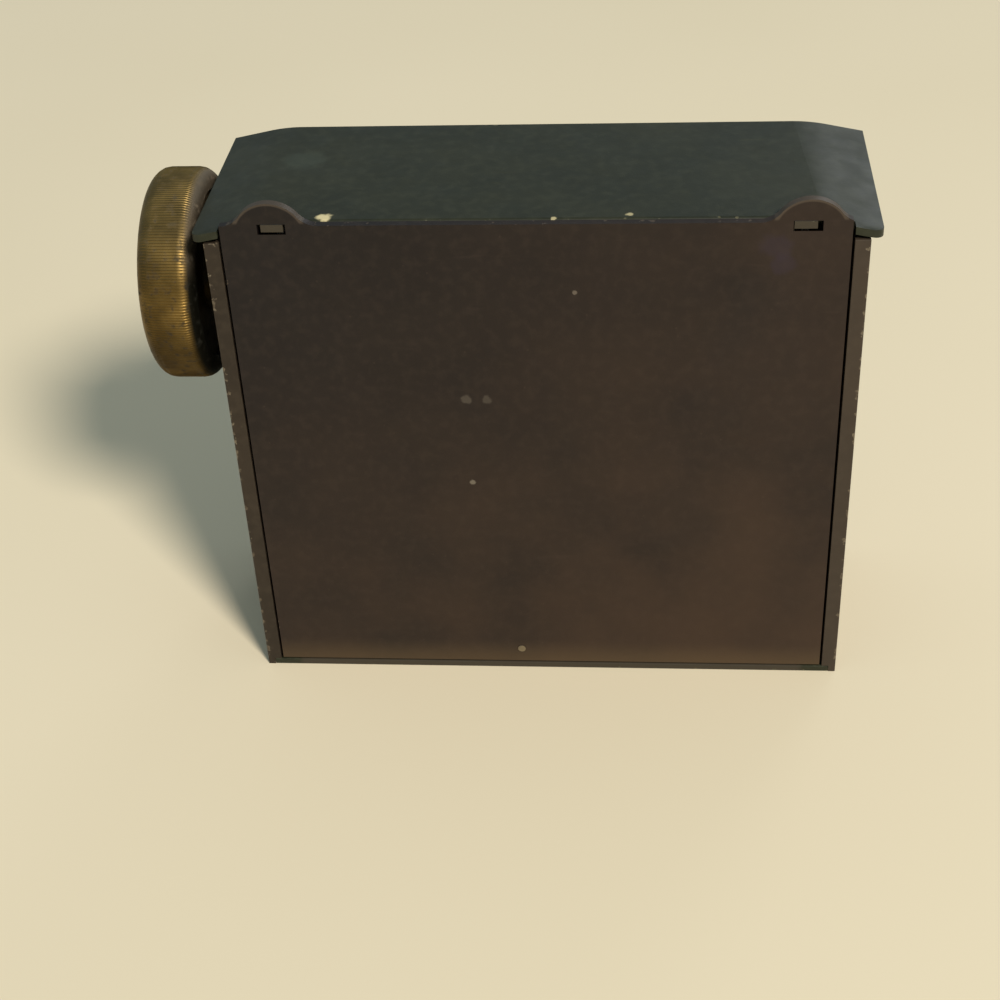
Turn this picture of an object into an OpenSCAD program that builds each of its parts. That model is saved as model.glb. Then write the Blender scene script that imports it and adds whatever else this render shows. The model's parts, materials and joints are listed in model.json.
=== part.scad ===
// Pop up telephone index. The painted sheet metal case stands on its front end here.
// X runs across the width, Y from the base plate (negative) to the top panel, Z from the front end
// up to the hinge end. A brass knob turns a letter drum and, through two gears, a slide whose
// finger reaches under the side tabs of the index leaves. The base plate hangs in two tabs of the
// end wall and swings away from the case when the button frees the latch.

/* [Case] */
// Width of the case over the two hemmed side edges
case_w = 73.8; // [72:0.2:78]
// Depth from the outer face of the base plate to the top panel
case_d = 26.6; // [26:0.1:28]
// Length of the case from the front end to the end wall
case_h = 64; // [64:0.2:68]
// Thickness of the case sheet
sheet = 0.9; // [0.8:0.05:1]
// How far the top panel and the end wall stand out past each side wall
overhang = 1.4; // [1:0.1:2]
// Width of each sloping shoulder of the end wall
shoulder_w = 6.5; // [5:0.1:7]
// Drop of each sloping shoulder
shoulder_drop = 1.35; // [1:0.05:1.5]
// Width of the folded hem along each side wall
hem_w = 1.75; // [1.7:0.05:2]
// Depth of the folded hem
hem_d = 3; // [2:0.1:3.2]

/* [Base plate] */
// Thickness of the base plate
base_t = 1; // [0.9:0.05:1.1]
// Gap between the base plate and each hem
base_gap = 0.3; // [0.25:0.05:0.5]
// Height of each ear above the plate
ear_h = 2.7; // [2.4:0.1:3]
// Radius of the top of each ear
ear_r = 4.2; // [3.8:0.1:4.6]
// Radius of the hollow foot on each side of an ear
ear_foot_r = 3.2; // [2.6:0.1:3.6]
// Distance of each ear from the middle of the pair
ear_x = 29.8; // [29.4:0.1:30]
// Width of each hinge slot
slot_w = 3.2; // [3:0.1:3.6]
// Height of each hinge slot
slot_h = 1.25; // [1.2:0.05:1.5]
// Distance of each hinge slot from the middle of the pair
slot_x = 29.5; // [29.2:0.1:29.8]
// Width of each hinge tab
tab_w = 2.5; // [2:0.1:2.7]

/* [Knob and drum] */
// Diameter of the knob
knob_d = 25.4; // [22:0.2:26]
// Thickness of the knob
knob_t = 6.8; // [6:0.1:8]
// Gap between the knob and the side wall
knob_gap = 2.5; // [2.2:0.1:3]
// Rounding of the knob's rim
knob_round = 1.8; // [1.2:0.1:2]
// Distance of the shaft below the top of the end wall
shaft_drop = 12.9; // [12.5:0.1:13.2]
// Diameter of the shaft
shaft_d = 3; // [2.6:0.1:3.2]
// Gap between the letter drum and the top leaf
drum_gap = 0.43; // [0.35:0.01:0.8]
// Length of the letter drum
drum_l = 18; // [14:0.5:20]

/* [Gears] */
// Module of the gears and of the rack
gear_m = 0.8; // [0.78:0.01:0.82]
// Thickness of the gears
gear_t = 3; // [2.6:0.1:3]
// Backlash between the teeth
backlash = 0.14; // [0.12:0.01:0.2]

/* [Leaves] */
// Thickness of one leaf
leaf_t = 0.25; // [0.2:0.01:0.26]
// Step from one leaf to the next
leaf_step = 0.36; // [0.34:0.01:0.37]
// Diameter of the leaf rod
rod_d = 1.2; // [1:0.05:1.3]

/* [Hidden] */

green = [0.2, 0.24, 0.21];
brown = [0.2, 0.16, 0.14];
worn_brown = [0.28, 0.24, 0.19];
old_brass = [0.42, 0.33, 0.16];
brass = [0.7, 0.57, 0.3];
steel = [0.6, 0.6, 0.58];

eps = 0.02;
fine = 72;
small = 32;
y_base = -case_d / 2;
y_top = case_d / 2;
y_panel = y_top - sheet;
y_floor = y_base + base_t;
half_w = case_w / 2;
wall_in = half_w - sheet;
hem_in = half_w - hem_w;
panel_w = half_w + overhang;
plate_w = hem_in - base_gap;
flat_w = panel_w - shoulder_w;
z_under = case_h - sheet;
side_h = case_h - shoulder_drop - sheet;

// The hinge line is the centre of the end wall's rounded near edge
// The ears, slots and tabs are punched a little off the middle, as on the real one
tab_x = 29.35;
tab_shift = 0.45;
punch_shift = 0.55;
slot_drop = 0.08;
corner_r = 1.4;
hinge_gap = 0.05;
hinge_r = sheet / 2;
hinge_y = y_floor + hinge_gap + hinge_r;
hinge_z = case_h - hinge_r;
plate_top = case_h - 0.1;
plate_bottom = sheet + 0.25;
tab_end = y_base + 0.1;
relief_r = norm([hinge_y - tab_end, hinge_r]) + 0.12;
shoulder_back = 0.3;

shaft_z = case_h - shaft_drop;
knob_x = -half_w - knob_gap - knob_t;
boss_r = 4.5;
boss_l = knob_gap - 0.8;
fit = 0.05;
bush_r = shaft_d / 2 + 0.9;
bush_lip = 0.4;
bush_flange_r = 3.6;
bush_flange_t = 0.7;
hub_d = 2 * shaft_d;
clip_t = 0.5;
clip_d = 1.8 * shaft_d;

teeth_1 = 12;
teeth_2 = 18;
pressure = 20;
addendum = 0.8 * gear_m;
dedendum = gear_m;
r_1 = teeth_1 * gear_m / 2;
r_2 = teeth_2 * gear_m / 2;
idler_z = shaft_z - r_1 - r_2;
gear_x = -(hem_in - 1.95);
travel = r_1 * 220 * PI / 180;
rack_pitch = PI * gear_m;
rack_y = -r_2;
rack_back = rack_y - dedendum - 1;
bar_low = rack_back - 1;
guide_front = 12;
guide_rear = case_h - 3;
guide_rivets_z = [guide_front + 8, guide_rear - 7];
rivet_d = 1;
bar_front = guide_front + 1.2;
bar_rear = idler_z + r_2 / 2 + 0.1;
pin_d = 2;
rib_y = (rack_back + bar_low) / 2;
rib_t = 0.8;
rib_w = 0.8;
toe_t = 0.5;
toe_len = 3;
toe_z = bar_front + 0.8;
toe_low = y_floor + 0.35;

leaf_count = 8;
leaf_low = y_floor + 0.3;
leaf_top = leaf_low + (leaf_count - 1) * leaf_step + leaf_t;
drum_r = -leaf_top - drum_gap;
leaf_left = gear_x + gear_t + 2.8;
leaf_right = hem_in - 6.1;
leaf_front = 10.2;
leaf_rear_gap = 2.2;
rod_y = leaf_low + (leaf_count - 1) * leaf_step / 2 + leaf_t / 2;
rod_z = case_h - 3.4;
knuckle_r = (leaf_count - 1) * leaf_step / 2 + leaf_t / 2 + 0.03;
knuckle_step = (leaf_right - leaf_left) / (2 * leaf_count);
knuckle_gap = 0.4;
side_tab = 2.2;
lower_leaves = 4;
lifted_leaves = leaf_count - lower_leaves;
side_tab_l = travel / lifted_leaves;
letter_tab_step = (leaf_right - leaf_left - 4) / lifted_leaves;
letter_tab_w = letter_tab_step - 2.1;
letter_tab_l = 1.7;
bracket_t = 1;
bracket_w = 2.2;

latch_x = -3.3;
latch_w = 5.4;
catch_z = 5;
catch_t = 0.9;
catch_rivet_z = 3.2;
cheek_t = 0.8;
cheek_x = latch_w / 2 + 0.4;
nose_y = -5;
nose_l = 1.3;
hook_gap = 0.25;
hook_z = catch_z + catch_t + nose_l + hook_gap;
pivot_y = 6;
pivot_z = 9.4;
pivot_d = 1.6;
button_z = 6.4;
button_d = 7;
button_h = 1.6;
button_travel = 1;
stem_d = 1.6;
tail_t = 1;

window_w = 14;
window_l = 5;
bezel_w = 3.2;
bezel_l = 2;
bezel_t = 0.9;
mask_lip = 0.8;
mask_w = 1;
screw_d = 1.2;
screw_x = window_w / 2 + bezel_w / 2;
star_points = 18;
star_d = 4 * shaft_d;
star_t = 1.2;
star_x = drum_l / 2 + 4;
detent_w = 4;
spring_w = 3.8;
spring_t = 0.4;
spring_x = plate_w - 0.5 - spring_w;
spring_rise = 0.05;
spring_root = case_h - 13;
spring_tip = spring_root - 29;
lug_y = y_base + 6;
lug_t = 2;

module along_x(x0, length) {
    translate([x0, 0, 0]) rotate([90, 0, 90]) linear_extrude(length) children();
}

module rod_x(x0, length, y, z, d, sides = fine) {
    translate([x0, y, z]) rotate([0, 90, 0]) cylinder(d = d, h = length, $fn = sides);
}

module rod_y_axis(x, y0, length, z, d, sides = small) {
    translate([x, y0, z]) rotate([-90, 0, 0]) cylinder(d = d, h = length, $fn = sides);
}

module block(x0, x1, y0, y1, z0, z1) {
    translate([x0, y0, z0]) cube([x1 - x0, y1 - y0, z1 - z0]);
}

// Case

module shoulder_outline(half, top) {
    polygon([[-half, case_h - shoulder_drop], [-flat_w, case_h], [flat_w, case_h],
        [half, case_h - shoulder_drop], [half, case_h - shoulder_drop - sheet],
        [flat_w, top], [-flat_w, top], [-half, case_h - shoulder_drop - sheet]]);
}

module panel_outline() {
    low = case_h - shoulder_drop;
    polygon([[-panel_w, 0], [panel_w, 0], [panel_w, low], [flat_w, case_h], [-flat_w, case_h],
        [-panel_w, low]]);
}

module end_wall(y0, y1, half0, half1) {
    intersection() {
        translate([0, y1, 0]) rotate([90, 0, 0]) linear_extrude(y1 - y0)
            shoulder_outline(panel_w, z_under);
        union() {
            block(half0, half1, y0, y1, 0, case_h);
            block(-half1, -half0, y0, y1, 0, case_h);
        }
    }
}

// The end wall beside the base plate, with rounded near corners
module wings() {
    intersection() {
        translate([0, y_panel + eps, 0]) rotate([90, 0, 0]) linear_extrude(y_panel + eps - y_base)
            shoulder_outline(panel_w, z_under);
        for (side = [0, 1]) mirror([side, 0, 0]) union() {
            block(hem_in, panel_w - corner_r, y_base, y_panel + eps, 0, case_h);
            block(panel_w - corner_r - eps, panel_w, y_base + corner_r, y_panel + eps, 0, case_h);
            translate([panel_w - corner_r, y_base + corner_r, 0])
                cylinder(r = corner_r, h = case_h, $fn = small);
        }
    }
}

module hinge_tab(x) {
    block(x - tab_w / 2, x + tab_w / 2, tab_end, hinge_y, z_under, case_h);
}

module cover_shell() {
    color(green) difference() {
        union() {
            translate([0, y_top, 0]) rotate([90, 0, 0]) linear_extrude(sheet) panel_outline();
            end_wall(hinge_y, y_panel + eps, 0, flat_w);
            rod_x(-flat_w, 2 * flat_w, hinge_y, hinge_z, sheet);
            end_wall(hinge_y - hinge_r + shoulder_back, y_panel + eps, flat_w - eps, hem_in + eps);
            wings();
            hinge_tab(tab_shift + tab_x);
            hinge_tab(tab_shift - tab_x);
        }
        block(-window_w / 2, window_w / 2, y_panel - 1, y_top + 1,
            shaft_z - window_l / 2, shaft_z + window_l / 2);
        rod_y_axis(latch_x, y_panel - 1, 4, button_z, stem_d + 0.4);
        for (x = [-screw_x, screw_x]) rod_y_axis(x, y_panel - 1, 4, shaft_z, screw_d + 2 * fit);
    }
}

module front_wall() {
    color(green) block(-wall_in, wall_in, y_base, y_panel, 0, sheet);
}

module side_wall(side) {
    mirror([side < 0 ? 1 : 0, 0, 0]) difference() {
        union() {
            block(wall_in, half_w, y_base, y_panel, 0, side_h);
            block(hem_in, wall_in + eps, y_base, y_base + hem_d, sheet, side_h);
            block(wall_in, wall_in + eps, y_base, y_base + hem_d, 0, side_h);
        }
        rod_x(wall_in - 1, 3, 0, shaft_z, 2 * bush_r);
        if (side < 0) {
            rod_x(wall_in - 1, 3, 0, idler_z, 0.7 * pin_d);
            for (z = guide_rivets_z) rod_x(hem_in - 1, 4, rib_y, z, rivet_d);
        }
        if (side > 0) rod_x(wall_in - 1, 3, lug_y + lug_t / 2, spring_tip, rivet_d);
    }
}

module side_wall_left() { color(worn_brown) side_wall(-1); }
module side_wall_right() { color(worn_brown) side_wall(1); }

// Window

module window_bezel() {
    color(old_brass) difference() {
        block(-window_w / 2 - bezel_w, window_w / 2 + bezel_w, y_top, y_top + bezel_t,
            shaft_z - window_l / 2 - bezel_l, shaft_z + window_l / 2 + bezel_l);
        block(-window_w / 2, window_w / 2, y_top - 1, y_top + 2,
            shaft_z - window_l / 2, shaft_z + window_l / 2);
        for (x = [-screw_x, screw_x]) rod_y_axis(x, y_top - 1, 3, shaft_z, screw_d + 2 * fit);
    }
}

module window_lens() {
    color("lightblue") block(-window_w / 2 + fit, window_w / 2 - fit, y_panel, y_top + bezel_t - 0.2,
        shaft_z - window_l / 2 + fit, shaft_z + window_l / 2 - fit);
}

module window_mask() {
    mask_low = drum_r + 0.5;
    color("black") difference() {
        block(-window_w / 2 - mask_lip, window_w / 2 + mask_lip, mask_low, y_panel,
            shaft_z - window_l / 2 - mask_lip, shaft_z + window_l / 2 + mask_lip);
        block(-window_w / 2 + mask_w, window_w / 2 - mask_w, mask_low - 1, y_panel + 1,
            shaft_z - window_l / 2 + mask_w, shaft_z + window_l / 2 - mask_w);
    }
}

module bezel_screws() {
    color(brass) for (x = [-screw_x, screw_x]) {
        rod_y_axis(x, y_panel - 0.8, sheet + bezel_t + 0.8, shaft_z, screw_d);
        rod_y_axis(x, y_top + bezel_t, 0.5, shaft_z, 1.85 * screw_d);
    }
}

// Bearings

module bush(side) {
    mirror([side < 0 ? 1 : 0, 0, 0]) difference() {
        union() {
            rod_x(wall_in - bush_flange_t, bush_flange_t, 0, shaft_z, 2 * bush_flange_r);
            rod_x(wall_in - bush_flange_t, sheet + bush_flange_t + bush_lip, 0, shaft_z, 2 * bush_r - 0.02);
        }
        rod_x(wall_in - 3, 8, 0, shaft_z, shaft_d + 2 * fit);
    }
}

module bush_left() { color(old_brass) bush(-1); }
module bush_right() { color(old_brass) bush(1); }

module idler_pin() {
    color(steel) {
        rod_x(-half_w, half_w - wall_in + 0.5, 0, idler_z, 0.65 * pin_d);
        rod_x(-wall_in, wall_in + gear_x + gear_t + 0.9, 0, idler_z, pin_d, small);
        rod_x(-wall_in, wall_in + gear_x - 0.2, 0, idler_z, 2 * pin_d);
        rod_x(gear_x + gear_t + 0.2, clip_t, 0, idler_z, 1.7 * pin_d);
    }
}

// Leaf rod

module rod_brackets() {
    color(steel) for (x = [leaf_left - 0.3 - bracket_t, leaf_right + 0.3]) difference() {
        union() {
            block(x, x + bracket_t, rod_y - bracket_w / 2, rod_y + 3, rod_z, z_under);
            rod_x(x, bracket_t, rod_y, rod_z, bracket_w, small);
            block(x, x + bracket_t, rod_y, rod_y + 5, z_under - bracket_t, z_under);
        }
        rod_x(x - 1, 3, rod_y, rod_z, rod_d);
    }
}

module leaf_rod() {
    color(steel) rod_x(leaf_left - 1.7, leaf_right - leaf_left + 3.4, rod_y, rod_z, rod_d - 0.02);
}

// Slide and its guide

module slide_guide() {
    low = bar_low - 0.1;
    high = rack_back + 0.6;
    inner = -gear_x + 0.25;
    color(steel) difference() {
        mirror([1, 0, 0]) block(inner, hem_in, low, high, guide_front, guide_rear);
        mirror([1, 0, 0]) block(inner - 1, inner + rib_w, rib_y - rib_t / 2 - 0.08,
            rib_y + rib_t / 2 + 0.08, guide_front - 1, guide_rear + 1);
        for (z = guide_rivets_z) rod_x(-hem_in - 1, 4, rib_y, z, rivet_d);
    }
}

module guide_rivets() {
    color(steel) for (z = guide_rivets_z) {
        rod_x(-half_w, half_w + gear_x - 0.25 - rib_w - 0.2, rib_y, z, rivet_d - 0.02);
    }
}

module rack_outline() {
    half = rack_pitch / 4 - backlash / 2;
    tip = half - addendum * tan(pressure);
    root = half + dedendum * tan(pressure);
    first = -round((travel + 2) / rack_pitch);
    for (i = [first : 0]) {
        z = idler_z + (i + 0.5) * rack_pitch;
        polygon([[rack_y - dedendum - eps, z - root], [rack_y + addendum, z - tip],
            [rack_y + addendum, z + tip], [rack_y - dedendum - eps, z + root]]);
    }
    translate([bar_low, bar_front]) square([rack_y - dedendum - bar_low, bar_rear - bar_front]);
}

module rack_slide() {
    toe_in = leaf_left - 0.4;
    color(steel) union() {
        along_x(gear_x, gear_t) rack_outline();
        block(gear_x - rib_w + 0.1, gear_x + eps, rib_y - rib_t / 2, rib_y + rib_t / 2, bar_front, bar_rear);
        block(gear_x + gear_t - 1, gear_x + gear_t, toe_low, bar_low + eps, toe_z, toe_z + toe_len);
        block(gear_x + gear_t - 1, toe_in, toe_low, toe_low + toe_t, toe_z, toe_z + toe_len);
    }
}

// Gears

function involute(a) = tan(a) - a * PI / 180;
function flank_angle(r, n) = let (base = n * gear_m / 2 * cos(pressure), q = max(r, base))
    90 / n - backlash / (n * gear_m) * 90 / PI
    + (involute(pressure) - involute(acos(base / q))) * 180 / PI;

module gear_outline(n, turn) {
    pitch_r = n * gear_m / 2;
    low = pitch_r - dedendum;
    high = pitch_r + addendum;
    steps = 4;
    up = [for (k = [0 : steps]) low + (high - low) * k / steps];
    polygon([for (i = [0 : n - 1]) let (a = turn + i * 360 / n) each concat(
        [for (r = up) r * [cos(a - flank_angle(r, n)), sin(a - flank_angle(r, n))]],
        [for (k = [steps : -1 : 0]) up[k] * [cos(a + flank_angle(up[k], n)),
            sin(a + flank_angle(up[k], n))]])]);
}

module drive_pinion() {
    color(brass) difference() {
        union() {
            translate([0, 0, shaft_z]) along_x(gear_x, gear_t) gear_outline(teeth_1, -90);
            rod_x(gear_x + gear_t - eps, 2, 0, shaft_z, hub_d);
        }
        rod_x(gear_x - 1, gear_t + 5, 0, shaft_z, shaft_d);
    }
}

module idler_gear() {
    color(brass) difference() {
        translate([0, 0, idler_z]) along_x(gear_x, gear_t) gear_outline(teeth_2, 180);
        rod_x(gear_x - 1, gear_t + 2, 0, idler_z, pin_d + 2 * fit);
    }
}

// Knob, shaft and drum

module knob_profile() {
    r = knob_d / 2;
    c = knob_round;
    difference() {
        union() {
            translate([0, c]) square([r, knob_t - 2 * c]);
            square([r - c, knob_t]);
            for (y = [c, knob_t - c]) translate([r - c, y]) circle(r = c, $fn = 48);
            square([boss_r, knob_t + boss_l]);
        }
        translate([boss_r, knob_t - 0.8]) square([r - 2.6 - boss_r, 2]);
        translate([3.5, -1]) square([r - 2.6 - 3.5, 1.5]);
        translate([-r, -r]) square([r, 4 * r]);
    }
}

module knob() {
    color(old_brass) difference() {
        translate([knob_x, 0, shaft_z]) rotate([0, 90, 0]) rotate_extrude($fn = 96) knob_profile();
        rod_x(knob_x + 1.5, knob_t + 5, 0, shaft_z, shaft_d);
        translate([knob_x + knob_t + boss_l / 2, 0, shaft_z - boss_r - 1])
            cylinder(d = 1.1, h = boss_r, $fn = small);
    }
}

module knob_screw() {
    color(steel) translate([knob_x + knob_t + boss_l / 2, 0, shaft_z - boss_r + 0.2])
        cylinder(d = 1.08, h = boss_r - shaft_d / 2 - 0.22, $fn = small);
}

module shaft() {
    color(steel) rod_x(knob_x + 1.5, half_w + 1.2 - knob_x - 1.5, 0, shaft_z, shaft_d - 0.02);
}

module letter_drum() {
    color("ivory") difference() {
        union() {
            difference() {
                rod_x(-drum_l / 2, drum_l, 0, shaft_z, 2 * drum_r, 96);
                rod_x(-drum_l / 2 - 1, drum_l + 2, 0, shaft_z, 2 * drum_r - 2, 96);
            }
            rod_x(-0.8, 1.6, 0, shaft_z, 2 * drum_r - 1, 96);
            rod_x(-4, 8, 0, shaft_z, hub_d + 0.4);
        }
        rod_x(-20, 40, 0, shaft_z, shaft_d);
    }
}

module star_wheel() {
    color(brass) difference() {
        union() {
            translate([0, 0, shaft_z]) along_x(star_x, star_t)
                polygon([for (i = [0 : 2 * star_points - 1]) (i % 2 == 0 ? star_d : star_d - 1.6) / 2
                    * [cos(i * 180 / star_points), sin(i * 180 / star_points)]]);
            rod_x(star_x, star_t + 1.8, 0, shaft_z, hub_d);
        }
        rod_x(star_x - 1, star_t + 5, 0, shaft_z, shaft_d);
    }
}

module detent_spring() {
    low = star_d / 2 + 0.2;
    x0 = star_x + (star_t - detent_w) / 2;
    color(steel) union() {
        block(x0, x0 + detent_w, low + 1, low + 1.35, shaft_z - 3, z_under);
        block(x0, x0 + detent_w, low + 1, y_panel - 0.2, z_under - spring_t, z_under);
        along_x(x0, detent_w) polygon([[low, shaft_z], [low + 1.1, shaft_z - 1.2],
            [low + 1.1, shaft_z + 1.2]]);
    }
}

module end_clip() {
    color(steel) difference() {
        rod_x(half_w + bush_lip + 0.1, clip_t, 0, shaft_z, clip_d);
        rod_x(half_w, 3, 0, shaft_z, shaft_d);
    }
}

// Base plate

module ear_outline() {
    centre = ear_h - ear_r;
    foot_z = ear_foot_r - 0.05;
    apart = ear_r + ear_foot_r - 0.03;
    reach = sqrt(pow(apart, 2) - pow(foot_z - centre, 2));
    difference() {
        union() {
            translate([0, centre]) circle(r = ear_r, $fn = 96);
            translate([-reach, -2]) square([2 * reach, 2 + centre + (foot_z - centre) * ear_r / apart]);
        }
        for (side = [-1, 1]) translate([side * reach, foot_z]) circle(r = ear_foot_r, $fn = 96);
    }
}

module ear(x) {
    intersection() {
        translate([x, y_floor, plate_top]) rotate([90, 0, 0]) linear_extrude(base_t) ear_outline();
        block(-plate_w, plate_w, y_base, y_floor, plate_top - 2, case_h + ear_h);
    }
}

module hinge_slot(x) {
    block(x - slot_w / 2, x + slot_w / 2, y_base - 1, y_floor + 1, hinge_z - slot_h / 2 - slot_drop,
        hinge_z + slot_h / 2 - slot_drop);
    rod_x(x - slot_w / 2, slot_w, hinge_y, hinge_z, 2 * relief_r);
}

module base_plate() {
    color(brown) difference() {
        union() {
            block(-plate_w, plate_w, y_base, y_floor, plate_bottom, plate_top);
            ear(punch_shift + ear_x);
            ear(punch_shift - ear_x);
        }
        hinge_slot(punch_shift + slot_x);
        hinge_slot(punch_shift - slot_x);
        rod_y_axis(latch_x, y_base - 1, 3, catch_rivet_z, rivet_d);
        rod_y_axis(spring_x + spring_w / 2, y_floor - 0.5, 3, spring_root + 2, rivet_d);
    }
}

module latch_catch() {
    color(steel) difference() {
        union() {
            block(latch_x - latch_w / 2, latch_x + latch_w / 2, y_floor, y_floor + catch_t,
                catch_rivet_z - 1.5, catch_z + catch_t);
            block(latch_x - latch_w / 2, latch_x + latch_w / 2, y_floor, nose_y + catch_t, catch_z,
                catch_z + catch_t);
            block(latch_x - latch_w / 2, latch_x + latch_w / 2, nose_y, nose_y + catch_t, catch_z,
                catch_z + catch_t + nose_l);
        }
        rod_y_axis(latch_x, y_floor - 1, 3, catch_rivet_z, rivet_d);
    }
}

module catch_rivet() {
    color(steel) {
        rod_y_axis(latch_x, y_base - 0.08, base_t + catch_t + 0.1, catch_rivet_z, rivet_d - 0.02);
        rod_y_axis(latch_x, y_floor + catch_t, 0.5, catch_rivet_z, 1.8 * rivet_d);
    }
}

module spring_foot() {
    color(steel) difference() {
        block(spring_x, spring_x + spring_w, y_floor, y_floor + spring_t, spring_root + 0.25, spring_root + 4);
        rod_y_axis(spring_x + spring_w / 2, y_floor - 1, 3, spring_root + 2, rivet_d);
    }
}

module lift_spring() {
    low = y_floor + spring_rise;
    tip = lug_y - 0.9;
    color(steel) {
        along_x(spring_x, spring_w) polygon([[low, spring_root], [tip, spring_tip],
            [tip, spring_tip - 3], [tip + spring_t, spring_tip - 3], [tip + spring_t, spring_tip],
            [low + spring_t, spring_root]]);
        rod_x(spring_x, spring_w, low + spring_t / 2, spring_root, spring_t, small);
    }
}

module spring_rivet() {
    color(steel) {
        rod_y_axis(spring_x + spring_w / 2, y_floor - 0.5, 1.2, spring_root + 2, rivet_d - 0.02);
        rod_y_axis(spring_x + spring_w / 2, y_floor + spring_t, 0.5, spring_root + 2, 2 * rivet_d);
    }
}

module spring_lug() {
    color(steel) {
        block(spring_x + 0.4, wall_in, lug_y, lug_y + lug_t, spring_tip - 1.5, spring_tip + 1.5);
        rod_x(wall_in - 0.5, sheet + 0.5, lug_y + lug_t / 2, spring_tip, rivet_d - 0.02);
    }
}

// Latch and button

module latch_bracket() {
    color(steel) difference() {
        union() {
            block(latch_x - cheek_x - cheek_t, latch_x + cheek_x + cheek_t, pivot_y - 3,
                pivot_y + 2.4, sheet, sheet + cheek_t);
            for (x = [latch_x - cheek_x - cheek_t, latch_x + cheek_x])
                block(x, x + cheek_t, pivot_y - 3, pivot_y + 2.4, sheet, pivot_z + 2);
        }
        rod_x(latch_x - cheek_x - 2, 2 * cheek_x + 4, pivot_y, pivot_z, pivot_d);
    }
}

module latch_pin() {
    color(steel) rod_x(latch_x - cheek_x - cheek_t - 0.3, 2 * (cheek_x + cheek_t + 0.3), pivot_y,
        pivot_z, pivot_d - 0.02);
}

module latch_hook() {
    low = nose_y - hook_gap - 1;
    color(steel) difference() {
        along_x(latch_x - latch_w / 2, latch_w) union() {
            translate([pivot_y, pivot_z]) circle(d = pivot_d + 2, $fn = small);
            translate([low, pivot_z - 0.5]) square([pivot_y - low, 1]);
            translate([low, hook_z]) square([1, pivot_z - hook_z]);
            translate([pivot_y - tail_t / 2, pivot_z - 4.2]) square([tail_t, 4.2]);
        }
        rod_x(latch_x - latch_w, 2 * latch_w, pivot_y, pivot_z, pivot_d + 2 * fit);
    }
}

module latch_spring() {
    color(steel) {
        block(latch_x - 1, latch_x + 1, pivot_y - 8, pivot_y - 3.2, sheet, sheet + 0.3);
        along_x(latch_x - 1, 2) polygon([[pivot_y - 8, sheet], [pivot_y - 7.6, sheet],
            [pivot_y - 6.6, hook_z - 1.6], [pivot_y - 7, hook_z - 1.6]]);
    }
}

module release_button() {
    stem_low = pivot_y + tail_t / 2 + 0.4;
    color(old_brass) union() {
        rod_y_axis(latch_x, stem_low, y_top + button_travel + 0.4 - stem_low, button_z, stem_d);
        rod_y_axis(latch_x, stem_low + 2, 0.6, button_z, 3);
        rod_y_axis(latch_x, y_top + button_travel + 0.3, button_h, button_z, button_d, 64);
    }
}

// Leaves. The lower four stay with the base plate, the upper four hang on the finger.

module leaf(i) {
    y0 = leaf_low + i * leaf_step;
    lifted = i - lower_leaves;
    difference() {
        union() {
            block(leaf_left, leaf_right, y0, y0 + leaf_t, leaf_front, rod_z - leaf_rear_gap);
            if (lifted >= 0) {
                z0 = toe_z + toe_len / 2 + lifted * side_tab_l;
                x0 = leaf_left + 2 + lifted * letter_tab_step;
                block(leaf_left - side_tab, leaf_left + 1, y0, y0 + leaf_t, z0 - side_tab_l / 2 + 0.2,
                    z0 + side_tab_l / 2 - 0.2);
                block(x0, x0 + letter_tab_w, y0, y0 + leaf_t, leaf_front - letter_tab_l, leaf_front + 1);
            }
            for (k = [i, i + leaf_count]) {
                x0 = leaf_left + k * knuckle_step + knuckle_gap / 2;
                length = knuckle_step - knuckle_gap;
                block(x0, x0 + length, y0, y0 + leaf_t, rod_z - leaf_rear_gap - 1, rod_z);
                rod_x(x0, length, rod_y, rod_z, 2 * knuckle_r, 48);
            }
        }
        rod_x(leaf_left - 1, leaf_right - leaf_left + 2, rod_y, rod_z, rod_d + 2 * fit);
    }
}

module leaf_1() { color("beige") leaf(0); }
module leaf_2() { color("beige") leaf(1); }
module leaf_3() { color("beige") leaf(2); }
module leaf_4() { color("beige") leaf(3); }
module leaf_5() { color("beige") leaf(4); }
module leaf_6() { color("beige") leaf(5); }
module leaf_7() { color("beige") leaf(6); }
module leaf_8() { color("beige") leaf(7); }

echo(hinge_y = hinge_y, hinge_z = hinge_z, shaft_z = shaft_z, idler_z = idler_z, rod_y = rod_y,
    rod_z = rod_z, pivot_y = pivot_y, pivot_z = pivot_z, travel = travel, gear_x = gear_x);

cover_shell();
front_wall();
side_wall_left();
side_wall_right();
window_bezel();
window_lens();
window_mask();
bezel_screws();
bush_left();
bush_right();
rod_brackets();
leaf_rod();
slide_guide();
guide_rivets();
detent_spring();
idler_pin();
latch_bracket();
latch_pin();
latch_spring();
spring_lug();
base_plate();
latch_catch();
catch_rivet();
spring_foot();
spring_rivet();
lift_spring();
knob();
knob_screw();
shaft();
letter_drum();
drive_pinion();
star_wheel();
end_clip();
idler_gear();
rack_slide();
release_button();
latch_hook();
leaf_1();
leaf_2();
leaf_3();
leaf_4();
leaf_5();
leaf_6();
leaf_7();
leaf_8();
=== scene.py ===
# %% [markdown]
# # A pop up telephone index
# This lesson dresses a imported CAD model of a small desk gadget: a painted sheet metal case that
# holds index cards, with a knurled brass knob at its side. The case stands on its front end, and
# we look at its underside, a brown plate that hangs by two tabs from the green end wall.
# The CAD gives every shape and every moving body. This script gives the looks: broken edges,
# knurls, screws, printed letters, and worn paint, brass, steel and card made from nodes.

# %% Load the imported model
import json
import math

import bmesh
import bpy
from mathutils import Matrix, Vector


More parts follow.
